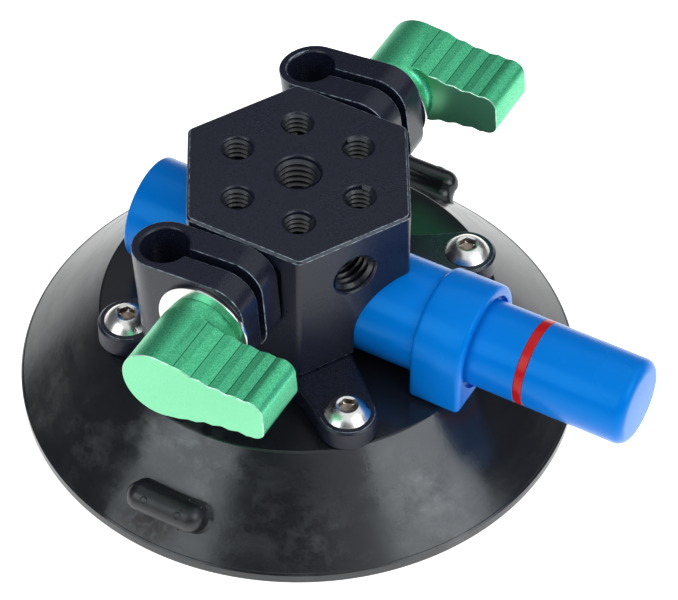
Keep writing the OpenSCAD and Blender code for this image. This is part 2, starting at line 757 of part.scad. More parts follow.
module knob(side, turn) {
    color([0.25, 0.68, 0.42])
    on_side(side) translate([stud_x, 0, stud_z]) rotate([0, -turn, 0]) difference() {
        union() {
            turned_y([[0, hub_y], [hub_root_r, hub_y], [hub_r, lever_y - scoop_r], [hub_r, knob_y], [0, knob_y]]);
            intersection() {
                rotate([90, 0, 0]) translate([0, 0, -knob_y])
                    linear_extrude(lever_t + scoop_r) lever_outline();
                turned_y(lever_space());
            }
        }
        rod_y_axis(stud_r + screw_gap, hub_y - 1, hub_y + stud_in_knob);
    }
}

module front_arm_plate() { arm_plate(-1); }
module rear_arm_plate() { arm_plate(1); }
module front_pad() { pad(-1); }
module rear_pad() { pad(1); }
module front_clamp() { clamp(-1, front_clamp_turn); }
module rear_clamp() { clamp(1, rear_clamp_turn); }
module front_washer() { washer(-1); }
module rear_washer() { washer(1); }
module front_knob() { knob(-1, lever_turn); }
module rear_knob() { knob(1, lever_turn); }
module front_stud() { stud(-1); }
module rear_stud() { stud(1); }

suction_cup();
backing_plate();
cup_liner();
air_filter();
check_valve();
port_seal();
front_arm_plate();
rear_arm_plate();
mounting_block();
block_screws();
corner_screws();
pump_barrel();
pump_collar();
plunger();
indicator_ring();
piston_seal();
return_spring();
front_pad();
rear_pad();
front_clamp();
rear_clamp();
front_washer();
rear_washer();
front_knob();
rear_knob();
front_stud();
rear_stud();
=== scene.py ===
from math import atan2, cos, hypot, pi, radians, sin, sqrt, tan

import bmesh
import bpy
from mathutils import Matrix, Vector


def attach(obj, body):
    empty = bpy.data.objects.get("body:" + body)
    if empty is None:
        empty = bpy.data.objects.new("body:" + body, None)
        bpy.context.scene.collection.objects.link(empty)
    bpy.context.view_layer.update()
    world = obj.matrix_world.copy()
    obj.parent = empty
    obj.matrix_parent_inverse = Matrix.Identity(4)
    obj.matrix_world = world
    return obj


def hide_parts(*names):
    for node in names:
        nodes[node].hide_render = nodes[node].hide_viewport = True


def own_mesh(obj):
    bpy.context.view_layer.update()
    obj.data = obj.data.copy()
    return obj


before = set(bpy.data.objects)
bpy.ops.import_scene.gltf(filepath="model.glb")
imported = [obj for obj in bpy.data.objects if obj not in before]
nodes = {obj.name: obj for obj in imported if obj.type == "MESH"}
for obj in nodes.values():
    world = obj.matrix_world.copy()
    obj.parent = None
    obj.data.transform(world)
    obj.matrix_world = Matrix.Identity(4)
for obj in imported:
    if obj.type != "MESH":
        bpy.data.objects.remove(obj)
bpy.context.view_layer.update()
scene = bpy.context.scene

# All shapes below are built in millimetres and scaled to metres at the end.
CUP_R, BAND_H, FOOT_R = 60.0, 2.6, 59.5
PLATEAU_R, PLATEAU_Z = 42.285, 20.8
PLATE_R, ROOF_Z, PLATE_TOP_Z = 41.985, 11.3, 17.8
BLOCK_TOP, FLAT_Y = 59.6, 22.8
PUMP_Z, BARREL_R, BORE_R = 31.75, 11.35, 9.9
BACK_X, COLLAR_X, STOP_X, PISTON_X = -36.2, 33.0, 41.5, 29.5
PLUNGER_R, PLUNGER_END, RING_X, RING_END, RING_R = 9.3, 79.8, 55.2, 57.3, 8.5
SEAL_X, SEAL_END, SEAL_R, WIRE_R, COIL_R, COIL_TURNS = 33.8, 37.2, 8.27, 0.6, 7.6, 17
END_WALL, PORT_X = 2, -27
ARM_TOP, SCREW, HEAD_R, HEAD_H, SOCKET = 26.0, 26.4, 4.85, 2.75, 3.5
TAB_Z, TAB_R, TAB_OUT, TAB_HALF = 10.9, 3.2, 2.9, 5.8
STUD_X, STUD_Z = -0.4, 48.2
LEVER_Y, KNOB_Y = 42.8, 56.3
ROD_X, CLAMP_Y = -13.0, 30.5
STUD_R, STUD_CORE, STUD_PITCH, STUD_FROM, STUD_TO = 3.98, 3.45, 1.25, 12.1, 50.2
# threads: radius of the wall, radius of the crest, pitch
BIG_THREAD, SMALL_THREAD = (4.7625, 3.97, 1.5875), (3.175, 2.58, 1.27)
CENTRE_DEPTH, RING_DEPTH, SIDE_DEPTH, HOLE_RING_R, SIDE_DROP = 12.6, 6.7, 10.6, 14.4, 10.1
# how far out the cone runs for each millimetre down
RUN = (FOOT_R - PLATEAU_R) / (PLATEAU_Z - BAND_H)


# ---- camera -----------------------------------------------------------------

def aim(azimuth, elevation, roll, across, up, distance, lens):
    """A camera that looks along a direction given in degrees, shifted in its own plane."""
    az, el, ro = radians(azimuth), radians(elevation), radians(roll)
    back = Vector((sin(az) * cos(el), -cos(az) * cos(el), sin(el)))
    right0 = Vector((cos(az), sin(az), 0))
    up0 = back.cross(right0)
    right = cos(ro) * right0 + sin(ro) * up0
    top = cos(ro) * up0 - sin(ro) * right0
    camera = bpy.data.objects.new("camera", bpy.data.cameras.new("camera"))
    scene.collection.objects.link(camera)
    camera.data.sensor_width = 36
    camera.data.lens = lens
    camera.data.clip_start, camera.data.clip_end = 0.05, 20
    place = (distance * back + across * right + up * top) * 0.001
    turn = Matrix((right, top, back)).transposed().to_4x4()
    camera.matrix_world = Matrix.Translation(place) @ turn
    scene.camera = camera


aim(azimuth=28.789, elevation=46.607, roll=0.396, across=8.656, up=14.672,
    distance=786.567, lens=192.56)


# ---- finishes ---------------------------------------------------------------

class Nodes:
    """Builds one procedural material, with object coordinates."""

    def __init__(self, name):
        self.material = bpy.data.materials.new(name)
        self.material.use_nodes = True
        self.tree = self.material.node_tree
        self.shader = self.tree.nodes["Principled BSDF"]
        self.place = self.add("ShaderNodeTexCoord").outputs["Object"]

    def near(self, x, y, z, reach, stretch=(1, 1, 1)):
        """1 at a point given in millimetres, falling to 0 at a distance of reach."""
        scaled = self.add("ShaderNodeVectorMath", operation="MULTIPLY")
        self.link(self.place, scaled.inputs[0])
        scaled.inputs[1].default_value = stretch
        away = self.add("ShaderNodeVectorMath", operation="DISTANCE")
        self.link(scaled.outputs["Vector"], away.inputs[0])
        away.inputs[1].default_value = [0.001 * p * k for p, k in zip((x, y, z), stretch)]
        node = self.add("ShaderNodeMapRange", interpolation_type="SMOOTHSTEP")
        for key, value in (("From Min", 0.0), ("From Max", 0.001 * reach),
                           ("To Min", 1.0), ("To Max", 0.0)):
            node.inputs[key].default_value = value
        self.link(away.outputs["Value"], node.inputs["Value"])
        return node.outputs["Result"]

    def maths(self, operation, first, second):
        node = self.add("ShaderNodeMath", operation=operation, use_clamp=True)
        for socket, value in zip(node.inputs, (first, second)):
            if isinstance(value, bpy.types.NodeSocket):
                self.link(value, socket)
            else:
                socket.default_value = value
        return node.outputs[0]

    def add(self, kind, **settings):
        node = self.tree.nodes.new(kind)
        for key, value in settings.items():
            setattr(node, key, value)
        return node

    def link(self, source, target):
        self.tree.links.new(source, target)

    def noise(self, scale, detail=2.0, rough=0.5, stretch=None):
        node = self.add("ShaderNodeTexNoise")
        node.inputs["Scale"].default_value = scale
        node.inputs["Detail"].default_value = detail
        node.inputs["Roughness"].default_value = rough
        place = self.place
        if stretch:
            mapping = self.add("ShaderNodeMapping")
            mapping.inputs["Scale"].default_value = stretch
            self.link(place, mapping.inputs["Vector"])
            place = mapping.outputs["Vector"]
        self.link(place, node.inputs["Vector"])
        return node.outputs["Fac"]

    def ramp(self, source, *stops):
        """Maps a value to colours; stops are (position, colour)."""
        node = self.add("ShaderNodeValToRGB")
        points = node.color_ramp.elements
        while len(points) < len(stops):
            points.new(0.5)
        for point, (position, colour) in zip(points, stops):
            point.position = position
            point.color = (*colour, 1)
        self.link(source, node.inputs["Fac"])
        return node.outputs["Color"]

    def spread(self, source, low, high, from_low=0.3, from_high=0.7):
        """Maps a noise value to a range of numbers."""
        node = self.add("ShaderNodeMapRange")
        node.inputs["From Min"].default_value = from_low
        node.inputs["From Max"].default_value = from_high
        node.inputs["To Min"].default_value = low
        node.inputs["To Max"].default_value = high
        self.link(source, node.inputs["Value"])
        return node.outputs["Result"]

    def mix(self, share, first, second):
        node = self.add("ShaderNodeMix", data_type="RGBA")
        self.link(share, node.inputs["Factor"])
        self.link(first, node.inputs["A"])
        self.link(second, node.inputs["B"])
        return node.outputs["Result"]

    def bump(self, source, strength, distance=0.0001, under=None):
        node = self.add("ShaderNodeBump")
        node.inputs["Strength"].default_value = strength
        node.inputs["Distance"].default_value = distance
        self.link(source, node.inputs["Height"])
        if under:
            self.link(under, node.inputs["Normal"])
        return node.outputs["Normal"]

    def set(self, **values):
        for key, value in values.items():
            socket = self.shader.inputs[key.replace("_", " ")]
            if isinstance(value, bpy.types.NodeSocket):
                self.link(value, socket)
            else:
                socket.default_value = value
        return self.material


def metal(name, dark, light, rough, grain=2500.0, bump=0.12, metallic=0.0, specular=0.5):
    """A blasted or brushed surface: fine grain over broad faint patches."""
    n = Nodes(name)
    fine, broad = n.noise(grain, 3.0), n.noise(60.0, 2.0)
    colour = n.mix(n.spread(broad, 0.0, 0.5), n.ramp(fine, (0.35, dark), (0.72, light)),
                   n.ramp(fine, (0.3, dark), (0.9, light)))
    return n.set(Base_Color=colour, Metallic=metallic, Specular_IOR_Level=specular,
                 Roughness=n.spread(broad, rough - 0.05, rough + 0.06), Normal=n.bump(fine, bump))


def plastic(name, colour, shade, rough, specular, tint):
    """Moulded plastic: even colour, faint flow marks and a soft sheen in a paler tint."""
    n = Nodes(name)
    broad, fine = n.noise(45.0, 3.0), n.noise(1800.0, 2.0)
    return n.set(Base_Color=n.ramp(broad, (0.3, shade), (0.7, colour)), Specular_Tint=(*tint, 1),
                 Roughness=n.spread(broad, rough - 0.03, rough + 0.05),
                 Normal=n.bump(fine, 0.06), Specular_IOR_Level=specular)


def steel(name, dark, light, rough, patch=180.0):
    """Bare or plated steel: broad stains and the faintest grain."""
    n = Nodes(name)
    broad, fine = n.noise(patch, 3.0), n.noise(3500.0, 2.0)
    return n.set(Base_Color=n.ramp(broad, (0.3, dark), (0.7, light)), Metallic=1.0,
                 Roughness=n.spread(broad, rough - 0.04, rough + 0.06), Normal=n.bump(fine, 0.02))


def worn_and_highlit_edge(name, base, bright, rough=0.4):
    """The rounded edge of a coated part, bright here and there: part rubbed through, part painted
    highlight.
    """
    n = Nodes(name)
    wear_and_glint = n.noise(900.0, 4.0, 0.65)
    return n.set(Base_Color=n.ramp(wear_and_glint, (0.38, base), (0.6, bright)), Metallic=0.35,
                 Roughness=rough, Specular_IOR_Level=0.6, Normal=n.bump(wear_and_glint, 0.1))


# where the grey patches lie on the cup, part the rubber's grey surface film and part painted
# reflection: x, y, z, reach in millimetres, and its strength
BLOOM_AND_REFLECTION = ((-9, -44.5, 16.5, 9, 0.9), (0, -45, 17, 9, 1.0), (6, -46.5, 15.5, 10, 1.0),
         (15, -48, 12, 12, 0.35), (-22, -48, 10, 15, 0.32), (-44, -36, 6, 18, 0.25),
         (39, -27, 14, 11, 0.55), (49, -25, 7, 15, 0.6), (30, -46, 8, 14, 0.4),
         (-50, 22, 9, 28, 0.6), (38, 40, 9, 26, 0.6))


def cup_rubber():
    """Near-black rubber. Grey patches on the cone are part the rubber's grey surface film and rub
    marks, part painted reflection; a brownish patch lies under the front tab, and the tab itself
    is duller."""
    n = Nodes("cup_rubber")
    bloom_and_reflection_noise, smear = n.noise(95.0, 7.0, 0.66), n.noise(40.0, 6.0, 0.68, stretch=(1.0, 1.0, 4.0))
    speck, fine = n.noise(700.0, 3.0, 0.7), n.noise(1500.0, 3.0)
    bloom_and_reflection_mask = 0.0
    for x, y, z, reach, share in BLOOM_AND_REFLECTION:
        bloom_and_reflection_mask = n.maths("ADD", n.maths("MULTIPLY", n.near(x, y, z, reach), share), bloom_and_reflection_mask)
    # the grey patches: part the rubber's own surface film, part painted reflection
    patches = n.maths("MULTIPLY", n.spread(bloom_and_reflection_noise, 0.0, 1.0, 0.44, 0.58), bloom_and_reflection_mask)
    black = n.ramp(fine, (0.3, (0.0070, 0.0075, 0.0095)), (0.75, (0.012, 0.013, 0.016)))
    grey = n.ramp(smear, (0.35, (0.030, 0.031, 0.033)), (0.7, (0.20, 0.198, 0.195)))
    colour = n.mix(patches, black, grey)
    # a brownish, duller patch under the front tab
    brown = n.maths("MULTIPLY", n.near(-4, -57.5, 4.9, 6.0, (0.55, 1, 1)),
                    n.spread(speck, 0.3, 1.0, 0.35, 0.6))
    colour = n.mix(brown, colour, n.ramp(speck, (0.3, (0.016, 0.012, 0.011)),
                                         (0.7, (0.034, 0.028, 0.026))))
    rough = n.spread(smear, 0.12, 0.27, 0.35, 0.65)
    tab = n.near(0, -57, 12, 8, (0.45, 1, 1))
    for mask, more in ((patches, 0.06), (brown, 0.45), (tab, 0.3)):
        rough = n.maths("ADD", rough, n.maths("MULTIPLY", mask, more))
    return n.set(Base_Color=colour, Roughness=rough, Specular_IOR_Level=0.5,
                 Normal=n.bump(fine, 0.06, under=n.bump(bloom_and_reflection_noise, 0.2, 0.0003)))


def soft(name, dark, light, rough, grain=900.0, bump=0.3):
    """Rubber, felt or fibre: dull, with a grain that shows."""
    n = Nodes(name)
    fine = n.noise(grain, 4.0, 0.6)
    return n.set(Base_Color=n.ramp(fine, (0.3, dark), (0.7, light)), Roughness=rough,
                 Specular_IOR_Level=0.3, Normal=n.bump(fine, bump))


BLACK = metal("black_anodised", (0.004, 0.005, 0.012), (0.018, 0.020, 0.039), 0.27,
              grain=3600.0, bump=0.35, specular=0.38)
# edge material for the black parts: part rubbed bright, part painted highlight
EDGE = worn_and_highlit_edge("black_anodised_edge", (0.03, 0.035, 0.05), (0.26, 0.31, 0.37))
THREAD = metal("black_anodised_thread", (0.004, 0.005, 0.008), (0.018, 0.021, 0.028), 0.25,
               grain=1200.0, bump=0.2, specular=0.6)
GREEN = metal("green_anodised", (0.035, 0.44, 0.185), (0.20, 0.88, 0.50), 0.34, grain=4200.0,
              metallic=0.8, bump=0.4)
# a lighter copy of the green for the levers' flat ends: painted light, with a finer machined grain
GREEN_LIT_FACE = metal("green_anodised_lit_face", (0.17, 0.57, 0.30), (0.25, 0.70, 0.41), 0.34,
                   grain=9000.0, metallic=0.75)
# edge material for the levers: part rubbed bright, part painted highlight
GREEN_EDGE = worn_and_highlit_edge("green_anodised_edge", (0.20, 0.66, 0.36), (0.72, 0.95, 0.80), 0.3)
# dark green on the rounded valleys of the levers' finger grooves: painted shade in the creases
GREEN_GROOVE_SHADE = metal("green_anodised_groove_shade", (0.004, 0.085, 0.035), (0.012, 0.16, 0.065), 0.5,
                     grain=4200.0, metallic=0.6)
BLUE = plastic("blue_plastic", (0.0, 0.195, 0.70), (0.0, 0.170, 0.64), 0.24, 0.36,
               (0.12, 0.62, 1.0))
RED = plastic("red_plastic", (0.62, 0.006, 0.009), (0.50, 0.004, 0.006), 0.24, 0.45,
              (1.0, 0.45, 0.40))
STAINLESS = steel("stainless", (0.72, 0.69, 0.65), (0.86, 0.84, 0.81), 0.24)
# darker, golden steel for the inside of the screws' hexagon sockets: painted shade in the recess
SOCKET_SHADE_STEEL = steel("socket_shade_steel", (0.13, 0.10, 0.08), (0.42, 0.34, 0.28), 0.36, patch=900.0)
WASHER = steel("washer_steel", (0.68, 0.66, 0.63), (0.80, 0.78, 0.75), 0.15, patch=400.0)
STUD = steel("stud_steel", (0.48, 0.49, 0.51), (0.62, 0.63, 0.65), 0.32)
PLATED = steel("plated_steel", (0.50, 0.51, 0.53), (0.62, 0.63, 0.64), 0.38)
RUBBER = cup_rubber()
SEAL = soft("seal_rubber", (0.014, 0.014, 0.016), (0.024, 0.024, 0.026), 0.55, bump=0.15)
FELT = soft("felt", (0.55, 0.52, 0.44), (0.80, 0.77, 0.68), 0.95, grain=2600.0, bump=0.9)
PAD = soft("friction_fibre", (0.020, 0.021, 0.026), (0.045, 0.046, 0.052), 0.75, grain=2200.0)


# ---- forms ------------------------------------------------------------------

def fillets(corners, steps=6):
    """An open outline from corners (x, y, radius), with each radius rounded off."""
    out = []
    for i, (x, y, r) in enumerate(corners):
        p = Vector((x, y))
        if not r:
            out.append(p)
            continue
        a = (Vector(corners[i - 1][:2]) - p).normalized()
        b = (Vector(corners[i + 1][:2]) - p).normalized()
        half = a.angle(b) / 2
        centre = p + (a + b).normalized() * (r / sin(half))
        start = p + a * (r / tan(half)) - centre
        sweep = start.angle_signed(p + b * (r / tan(half)) - centre)
        for k in range(steps + 1):
            t = -sweep * k / steps
            out.append(centre + Vector((start.x * cos(t) - start.y * sin(t),
                                        start.x * sin(t) + start.y * cos(t))))
    return out


def as_mesh(bm, name):
    """Turns a bmesh into a mesh, and frees it."""
    mesh = bpy.data.meshes.new(name)
    bm.to_mesh(mesh)
    bm.free()
    return mesh


def add(bm, part, place=Matrix()):
    """Puts a finished shape in its place in a larger one."""
    part.transform(place)
    mesh = as_mesh(part, "part")
    bm.from_mesh(mesh)
    bpy.data.meshes.remove(mesh)


def lathe(bm, outline, place=Matrix(), steps=160, closed=False):
    """Turns an outline of (radius, height) about Z, and puts it in place."""
    part = bmesh.new()
    verts = [part.verts.new((r, 0, z)) for r, z in outline]
    edges = [part.edges.new(pair) for pair in zip(verts, verts[1:])]
    if closed:
        edges.append(part.edges.new((verts[-1], verts[0])))
    bmesh.ops.spin(part, geom=verts + edges, cent=(0, 0, 0), axis=(0, 0, 1), dvec=(0, 0, 0),
                   angle=2 * pi, steps=steps, use_merge=True)
    add(bm, part, place)


def helix(bm, outline, pitch, turns, place=Matrix(), steps=40):
    """A ridge or wire: a small closed outline of (radius, height), wound about Z."""
    part = bmesh.new()
    verts = [part.verts.new((r, 0, z)) for r, z in outline]
    edges = [part.edges.new((verts[i - 1], verts[i])) for i in range(len(verts))]
    bmesh.ops.spin(part, geom=verts + edges, cent=(0, 0, 0), axis=(0, 0, 1),
                   dvec=(0, 0, pitch / steps), angle=2 * pi * turns, steps=round(steps * turns))
    bmesh.ops.holes_fill(part, edges=[e for e in part.edges if e.is_boundary], sides=len(outline))
    bmesh.ops.recalc_face_normals(part, faces=part.faces)
    add(bm, part, place)


def stack(bm, levels, shape, place=Matrix(), segments=48):
    """Bridges a stack of closed rings. shape(angle, *level) gives a point of a ring; the
    first and the last ring are closed with a face."""
    part = bmesh.new()
    rings = []
    for level in levels:
        ring = bmesh.ops.create_circle(part, segments=segments, radius=1)["verts"]
        for vert in ring:
            vert.co = Vector(shape(atan2(vert.co.y, vert.co.x), *level))
        rings.append(ring)
    for lower, upper in zip(rings, rings[1:]):
        both = {edge for vert in lower + upper for edge in vert.link_edges if not edge.is_manifold}
        flat = [edge for edge in both if all(v in lower for v in edge.verts)
                or all(v in upper for v in edge.verts)]
        bmesh.ops.bridge_loops(part, edges=flat)
    bmesh.ops.holes_fill(part, edges=[e for e in part.edges if e.is_boundary], sides=segments)
    bmesh.ops.recalc_face_normals(part, faces=part.faces)
    add(bm, part, place)


def clean(bm):
    """Closes the seams and poles of turned shapes, and turns the faces outwards."""
    bmesh.ops.remove_doubles(bm, verts=bm.verts, dist=0.0005)
    bmesh.ops.recalc_face_normals(bm, faces=bm.faces)


def make(name, bm, materials, body, replaces=(), angle=35):
    """A finished piece: to metres, smooth below the angle, riding its body."""
    bm.transform(Matrix.Scale(0.001, 4))
    mesh = as_mesh(bm, name)
    mesh.shade_smooth()
    mesh.set_sharp_from_angle(angle=radians(angle))
    piece = bpy.data.objects.new(name, mesh)
    scene.collection.objects.link(piece)
    for material in materials:
        mesh.materials.append(material)
    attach(piece, body)
    if replaces:
        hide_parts(*replaces)
    return piece


def dressed(name, node, materials, body, width, crisp=30, angle=30, segments=2,
            bright=None, groove=None, plain=None):
    """The rigid node's own shape with its crisp edges rounded off. A second material, part rubbed
    and part painted highlight, goes on the rounded edges for which bright(centre) holds. Where
    groove(edge) picks hollow edges, they are rounded with a third material, a darker one that
    paints shade in them, and no other hollow edge is. A fourth, a lighter copy that paints
    light on them, goes on the faces for which plain(face) holds."""
    bm = bmesh.new()
    bm.from_mesh(nodes[node].data)
    bm.transform(Matrix.Scale(1000, 4))
    bmesh.ops.remove_doubles(bm, verts=bm.verts, dist=0.0008)
    bmesh.ops.dissolve_limit(bm, angle_limit=radians(0.4), verts=bm.verts, edges=bm.edges)
    bmesh.ops.dissolve_degenerate(bm, dist=0.01, edges=bm.edges)
    for face in bm.faces:
        face.material_index = 3 if plain and plain(face) else 0

    def soften(edges, size, index, where):
        made = bmesh.ops.bevel(bm, geom=edges, offset=size, offset_type="OFFSET",
                               segments=segments, profile=0.5, affect="EDGES",
                               clamp_overlap=False, loop_slide=False, material=-1)
        for face in made["faces"]:
            face.material_index = index if where(face.calc_center_median()) else 0

    if groove:
        soften([e for e in bm.edges if e.is_manifold and not e.is_convex and groove(e)],
               width * 0.6, 2, lambda p: True)
    soften([e for e in bm.edges if e.is_manifold
            and radians(crisp) < e.calc_face_angle() < radians(150)
            and (e.is_convex or not groove)], width, 1, bright or (lambda p: False))
    return make(name, bm, materials, body, (node,), angle)


ALONG_PUMP = Matrix.Translation((0, 0, PUMP_Z)) @ Matrix.Rotation(pi / 2, 4, "Y")


def beside(side):
    """Puts Z along the clamp stack, out from the block, on the front (-1) or rear (1)."""
    return Matrix.Translation((STUD_X, 0, STUD_Z)) @ Matrix.Rotation(-side * pi / 2, 4, "X")


# ---- suction cup ------------------------------------------------------------

def suction_cup():
    bm = bmesh.new()
    lathe(bm, fillets([
        (0, PLATEAU_Z, 0), (PLATEAU_R, PLATEAU_Z, 0.9), (FOOT_R, BAND_H, 0.3),
        (FOOT_R + 0.12, BAND_H, 0), (CUP_R - 0.02, BAND_H - 0.35, 0), (CUP_R, 0, 0.45),
        (CUP_R - 1.8, 0, 0.3), (52.0, 2.6, 2.0), (PLATEAU_R + 1.7, ROOF_Z, 1.2),
        (PLATE_R + 0.15, ROOF_Z, 0.3), (PLATE_R + 0.15, PLATE_TOP_Z, 0), (0, PLATE_TOP_Z, 0)]),
        steps=256)
    for side in (-1, 1):
        pull_tab(bm, side)
    clean(bm)
    make("cup", bm, [RUBBER], "base", ("suction_cup",), angle=40)


def pull_tab(bm, side):
    """A round-ended tongue square to the cone, with a flared foot and a fully rounded end."""
    tilt = atan2(1, RUN)
    reach = PLATEAU_R + (PLATEAU_Z - TAB_Z) * RUN + TAB_OUT / sin(tilt)
    # local Z points out of the cone, local X along the tab
    place = Matrix.Rotation(0 if side > 0 else pi, 4, "Z") \
        @ Matrix.Translation((0, reach, TAB_Z)) @ Matrix.Rotation(-tilt, 4, "X")
    behind = TAB_R - 0.25
    levels = [(-4.3, behind + 1.3), (-3.3, behind + 0.75), (-2.8, behind + 0.35),
              (-2.3, behind + 0.1), (-1.5, behind), (-0.6, behind + 0.03), (0.0, TAB_R)]
    levels += [(TAB_R * sin(radians(a)), TAB_R * cos(radians(a))) for a in range(12, 85, 9)]
    stack(bm, levels, lambda a, height, r:
          (r * cos(a) + (TAB_HALF if cos(a) > 0 else -TAB_HALF), r * sin(a), height),
          place, segments=54)
    # two round marks of the mould's pins, and the vent pips round the tab
    for x, turn in ((3.8, -2), (-4.2, -6)):
        lathe(bm, [(0, 2.4), (0.95, 2.4), (0.95, 3.05), (0.82, 3.27), (0.7, 3.25), (0.62, 3.14),
                   (0, 3.14)],
              place @ Matrix.Translation((x, 0, 0)) @ Matrix.Rotation(radians(turn), 4, "X"), 24)
    for x, turn, out in ((-4.6, 84, 3.1), (-7.4, 88, 2.6), (-4.7, 18, 3.1), (-4.6, -78, 3.1)):
        lathe(bm, [(0, 0), (0.22, 0), (0.2, 0.35), (0.12, 0.45), (0, 0.48)],
              place @ Matrix.Translation((x, 0, 0)) @ Matrix.Rotation(radians(turn), 4, "X")
              @ Matrix.Translation((0, 0, out)), 12)


suction_cup()
dressed("liner", "cup_liner", [SEAL], "base", 0.35, segments=3)
dressed("port_filter", "air_filter", [FELT], "base", 0.3, segments=3)
dressed("port_flap", "check_valve", [SEAL], "base", 0.12)
dressed("port_ring", "port_seal", [SEAL], "base", 0.2)
for node, finish in (("backing_plate", PLATED), ("block_screws", STUD)):
    nodes[node].data.materials.clear()
    nodes[node].data.materials.append(finish)


# ---- arms and block ---------------------------------------------------------

# the rims picked below get the bright edge material: part rubbed, part painted highlight
def boss_rim(p):
    """Whether a point lies on the outer half of the upper rim round an arm's screw."""
    return (p.z > ARM_TOP - 0.4 and abs(p.x) + abs(p.y) > 2 * SCREW
            and hypot(abs(p.x) - SCREW, abs(p.y) - SCREW) < 7)


def block_rim(p):
    """Whether a point lies on the block's outline at its top or its foot."""
    return (max(abs(p.y), abs(p.x) * cos(pi / 6) + abs(p.y) / 2) > FLAT_Y - 0.8
            and (p.z > BLOCK_TOP - 0.7 or p.z < ARM_TOP + 0.7))


for side in ("front", "rear"):
    dressed(side + "_arms", side + "_arm_plate", [BLACK, EDGE], "base", 0.07,
            angle=11, bright=boss_rim)
dressed("block", "mounting_block", [BLACK, EDGE], "base", 0.10, angle=11,
        bright=block_rim)


def head_screws():
    """Four button-head screws: a domed head with a chamfered hexagon socket, and a shank."""
    dome_r = (HEAD_R ** 2 + HEAD_H ** 2) / (2 * HEAD_H)
    mouth, wall, shank = 2.28, SOCKET / 2, 2.5

    def dome(r):
        return HEAD_H - dome_r + sqrt(dome_r ** 2 - r ** 2)

    def ring(angle, radius, height, hexagon):
        """A point of a circle, or at hexagon 1 of a hexagon with that radius to its flats."""
        flat = cos((angle + pi / 6) % (pi / 3) - pi / 6)
        k = radius * (1 - hexagon + hexagon / flat)
        return k * cos(angle), k * sin(angle), height

    bm = bmesh.new()
    for x in (-SCREW, SCREW):
        for y in (-SCREW, SCREW):
            head = bmesh.new()
            levels = [(shank - 0.2, -11.4, 0), (shank, -11.2, 0), (shank, 0.02, 0),
                      (HEAD_R - 0.15, 0.02, 0), (HEAD_R - 0.03, 0.06, 0), (HEAD_R - 0.05, 0.16, 0)]
            levels += [(r, dome(r), 0) for r in (4.5, 4.1, 3.7, 3.3, 2.9, 2.5)]
            levels += [(mouth + 0.07, dome(mouth + 0.07) - 0.01, 0),
                       (mouth, dome(mouth) - 0.06, 0), (wall + 0.06, 2.03, 0.9),
                       (wall, 1.94, 1), (wall, 0.66, 1), (wall - 0.15, 0.56, 0.8),
                       (0.35, 0.30, 0)]
            stack(head, levels, ring)
            # the socket walls get the darker steel of painted shade
            for face in head.faces:
                middle = face.calc_center_median()
                face.material_index = 0.2 < middle.z < 1.93 and middle.xy.length < wall + 0.1
            turn = Matrix.Rotation(radians(11 * (x / SCREW) + 23 * (y / SCREW)), 4, "Z")
            add(bm, head, Matrix.Translation((x, y, ARM_TOP)) @ turn)
    make("head_screws", bm, [STAINLESS, SOCKET_SHADE_STEEL], "base",
         ("corner_screws",), angle=24)


head_screws()


def hole_threads():
    """The threads inside the block's holes: a helical ridge in each."""
    bm = bmesh.new()
    holes = [(Matrix.Translation((0, 0, BLOCK_TOP)), BIG_THREAD, CENTRE_DEPTH)]
    for a in range(0, 360, 60):
        holes.append((Matrix.Rotation(radians(a), 4, "Z")
                      @ Matrix.Translation((HOLE_RING_R, 0, BLOCK_TOP)), SMALL_THREAD, RING_DEPTH))
    for a in (-150, -30, 30, 150):
        holes.append((Matrix.Rotation(radians(a), 4, "Z")
                      @ Matrix.Translation((FLAT_Y, 0, BLOCK_TOP - SIDE_DROP))
                      @ Matrix.Rotation(pi / 2, 4, "Y"), BIG_THREAD, SIDE_DEPTH))
    for place, (wall, crest, pitch), depth in holes:
        ridge = [(wall + 0.04, -0.46 * pitch), (crest, -0.09 * pitch),
                 (crest, 0.09 * pitch), (wall + 0.04, 0.46 * pitch)]
        turns = (depth - 0.6 - pitch / 2) / pitch
        helix(bm, ridge, pitch, turns, place @ Matrix.Translation((0, 0, -depth + pitch / 2)))
    make("hole_threads", bm, [THREAD], "base", angle=30)


hole_threads()


# ---- pump -------------------------------------------------------------------

def barrel():
    """The closed tube of the pump, stepped where the collar fits over it, and its port."""
    bm = bmesh.new()
    spigot_r = 10.55
    lathe(bm, fillets([
        (0, BACK_X, 0), (BARREL_R, BACK_X, 0.5), (BARREL_R, COLLAR_X, 0.15),
        (spigot_r, COLLAR_X, 0), (spigot_r, STOP_X, 0), (BORE_R, STOP_X, 0),
        (BORE_R, BACK_X + END_WALL, 0), (0, BACK_X + END_WALL, 0)], 8), ALONG_PUMP)
    lathe(bm, [(4.5, 19.4), (4.5, 24.0), (1.5, 24.0), (1.5, 19.4)],
          Matrix.Translation((PORT_X, 0, 0)), steps=48, closed=True)
    clean(bm)
    make("barrel", bm, [BLUE], "base", ("pump_barrel",))


